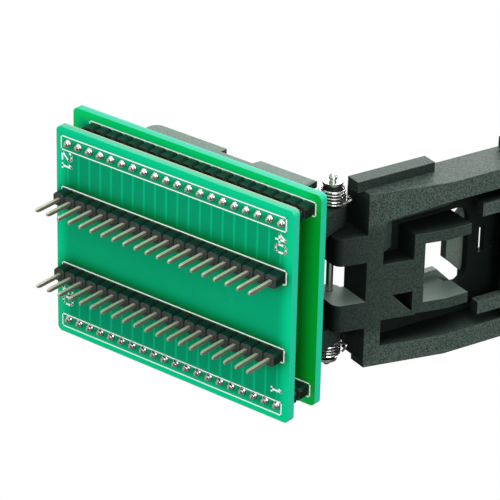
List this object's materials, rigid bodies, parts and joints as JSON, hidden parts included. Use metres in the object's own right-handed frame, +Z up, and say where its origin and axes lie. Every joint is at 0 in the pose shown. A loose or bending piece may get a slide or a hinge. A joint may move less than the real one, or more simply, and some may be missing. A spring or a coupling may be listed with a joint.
{
  "type": "zif socket",
  "caption": "Clamshell test socket for a quad flat package with sprung lid, pusher and hook latch, on two stacked boards joined by pin headers, with DIP pins below.",
  "frame": {"origin": "centre of the DIP pin field, in the plane of the two header strips' undersides, which is where the part seats on its host socket", "axes": "+X along the pin rows, from the latch end to the hinge end of the socket; +Y across the rows, from the near row to the far row; +Z up out of the boards, towards the socket"},
  "size_m": [0.073, 0.0414, 0.0693],
  "materials": {
    "solder_mask": "green solder mask, semi-gloss",
    "header_plastic": "moulded, satin",
    "pin_plating": "thin gold flash, satin",
    "solder": "bright solder",
    "socket_plastic": "spark-eroded texture, matte",
    "pusher_plastic": "smooth, satin",
    "contact_plating": "gold plated",
    "spring_steel": "blackened spring wire",
    "steel": "polished spring wire and pin"
  },
  "bodies": {
    "base": {"lower_board": "solder_mask", "upper_board": "solder_mask", "dip_header_near": "header_plastic", "dip_header_far": "header_plastic", "dip_pins_near": "pin_plating", "dip_pins_far": "pin_plating", "dip_solder_near": "solder", "dip_solder_far": "solder", "link_header_near": "header_plastic", "link_header_far": "header_plastic", "link_spacer_near": "header_plastic", "link_spacer_far": "header_plastic", "link_pins_near": "pin_plating", "link_pins_far": "pin_plating", "link_solder_lower_near": "solder", "link_solder_lower_far": "solder", "link_solder_upper_near": "solder", "link_solder_upper_far": "solder", "socket_base": "socket_plastic", "contacts_latch_side": "contact_plating", "contacts_hinge_side": "contact_plating", "contacts_near": "contact_plating", "contacts_far": "contact_plating", "hinge_pin": "steel", "hinge_clip_near": "steel", "hinge_clip_far": "steel", "hinge_spring_near": "steel", "hinge_spring_far": "steel"},
    "lid": {"lid": "socket_plastic", "pusher": "pusher_plastic", "latch_pin": "steel", "latch_spring": "spring_steel"},
    "latch": {"latch": "socket_plastic"}
  },
  "joints": [
    {"name": "lid_hinge", "type": "hinge", "parent": "base", "child": "lid", "pos_m": [0.02067, 0, 0.02164], "axis": [0, 1, 0], "range_deg": [-109, 0], "stiffness_Nm_per_rad": 0.0025, "springref_deg": 20.05, "deforming": ["hinge_spring_near", "hinge_spring_far"]},
    {"name": "latch_hinge", "type": "hinge", "parent": "lid", "child": "latch", "pos_m": [0.0382, 0, 0.05473], "axis": [0, 1, 0], "range_deg": [0, 12], "stiffness_Nm_per_rad": 0.004, "springref_deg": -17.19, "deforming": ["latch_spring"]}
  ]
}
